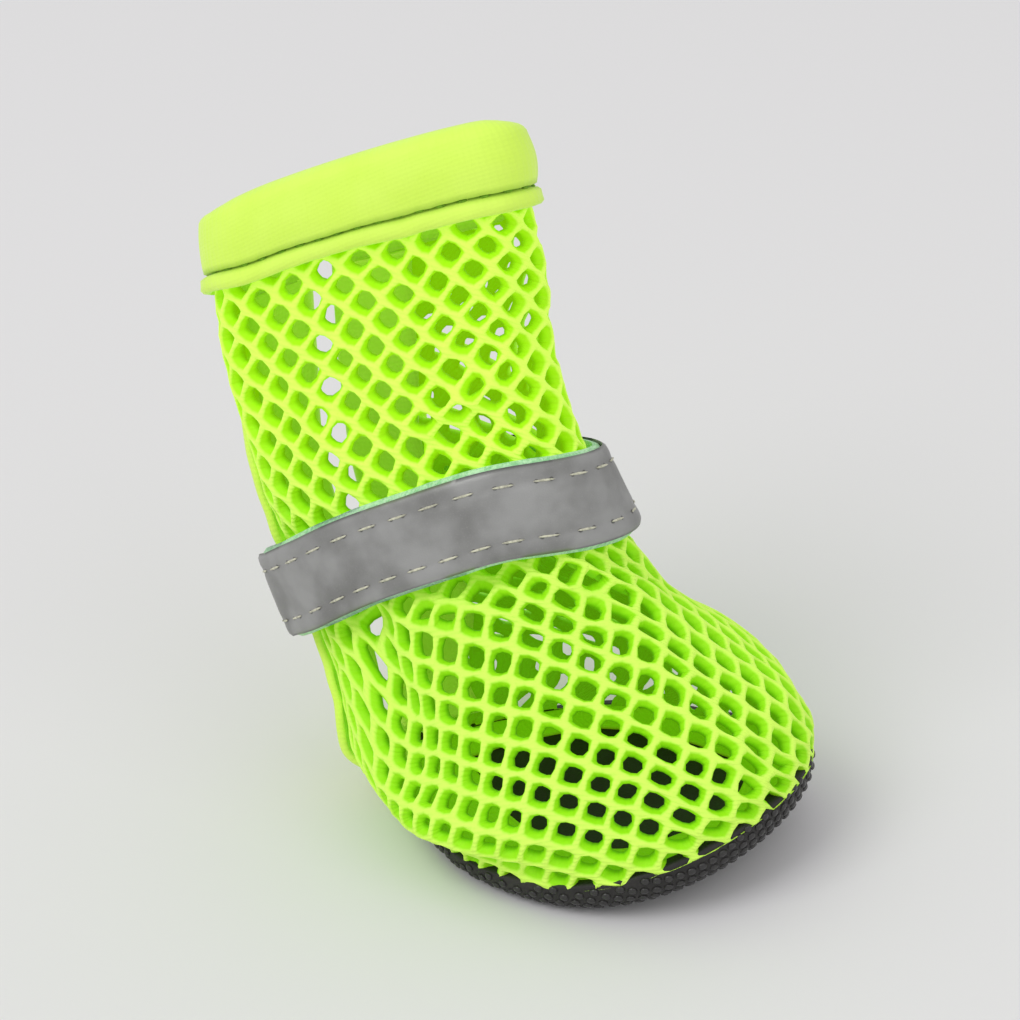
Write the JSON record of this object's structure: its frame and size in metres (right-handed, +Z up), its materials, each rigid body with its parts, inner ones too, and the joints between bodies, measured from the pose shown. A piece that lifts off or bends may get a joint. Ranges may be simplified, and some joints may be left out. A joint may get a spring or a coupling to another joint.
{
  "type": "dog boot",
  "caption": "Small dog's boot: a slack open mesh upper with a bound collar and back slit, a drop-shaped non-slip sole and a hook and loop ankle strap.",
  "frame": {"origin": "middle of the sole's length and width, on the floor plane that the sole rests on", "axes": "+X to the toe, +Y to the boot's left side, +Z up to the collar"},
  "size_m": [0.0695, 0.0448, 0.0855],
  "materials": {
    "mesh": "open honeycomb air mesh, neon green",
    "grip": "matt black sheet with fine bumps",
    "binding": "smooth woven tape, pale neon green",
    "webbing": "soft mint green hook and loop webbing",
    "reflective": "grey reflective cloth"
  },
  "bodies": {
    "root": {"upper": "mesh", "sole": "grip", "collar_binding": "binding", "slit_binding_right": "binding", "slit_binding_left": "binding", "strap_webbing": "webbing", "reflective_tape": "reflective"}
  },
  "joints": []
}
